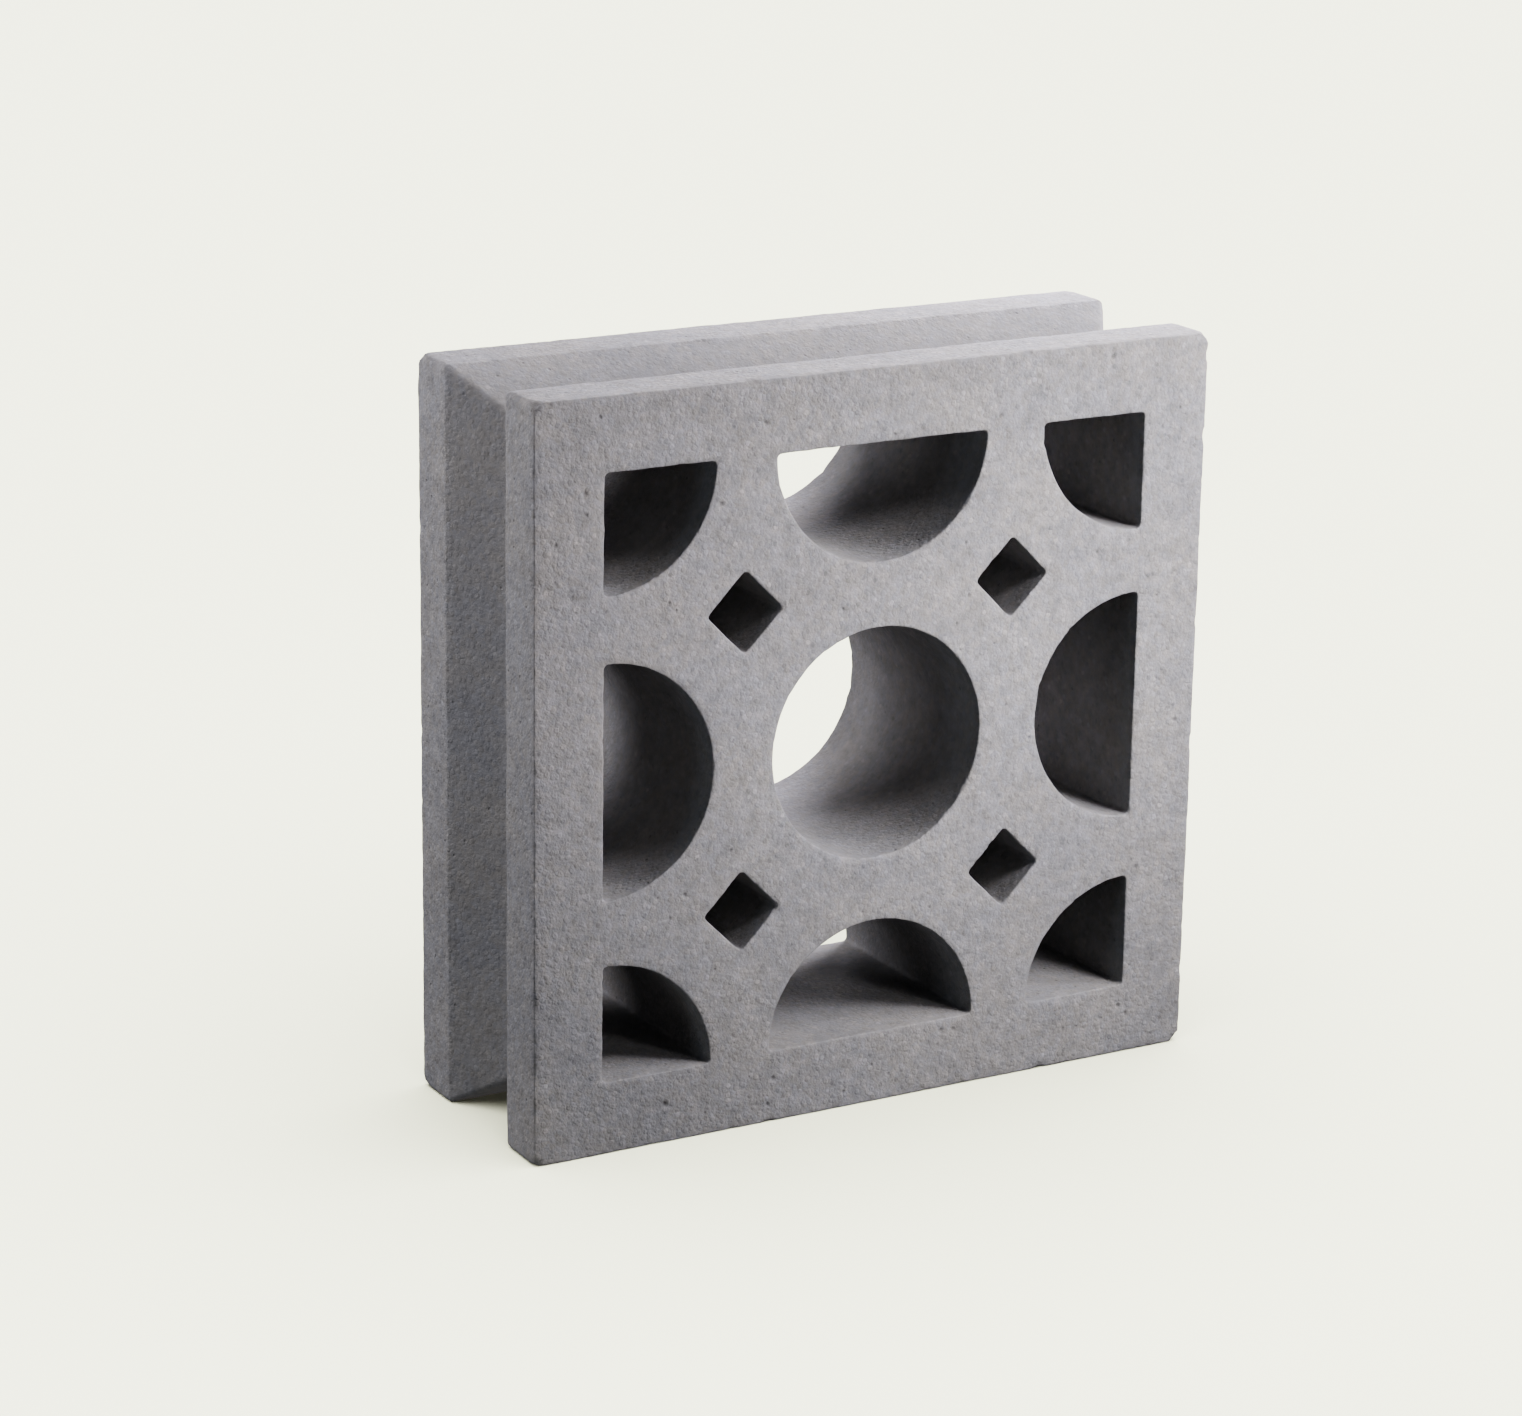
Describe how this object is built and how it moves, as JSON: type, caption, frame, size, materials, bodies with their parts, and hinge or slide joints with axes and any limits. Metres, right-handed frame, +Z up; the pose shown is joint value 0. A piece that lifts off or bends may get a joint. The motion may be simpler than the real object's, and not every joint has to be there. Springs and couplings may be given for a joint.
{
  "type": "decorative screen block",
  "caption": "Square cast concrete screen block with round, half-round, quarter-round and diamond openings right through it and a V groove for mortar round its edges.",
  "frame": {"origin": "middle of the base: centre of the width and of the thickness, on the surface the block stands on", "axes": "+Z up along the height, +X to the right along the width seen from the front, +Y from the front face to the back face"},
  "size_m": [0.3, 0.1, 0.3],
  "materials": {
    "concrete": "matt grey cast concrete with a fine granular face"
  },
  "bodies": {
    "root": {"screen_block": "concrete"}
  },
  "joints": []
}
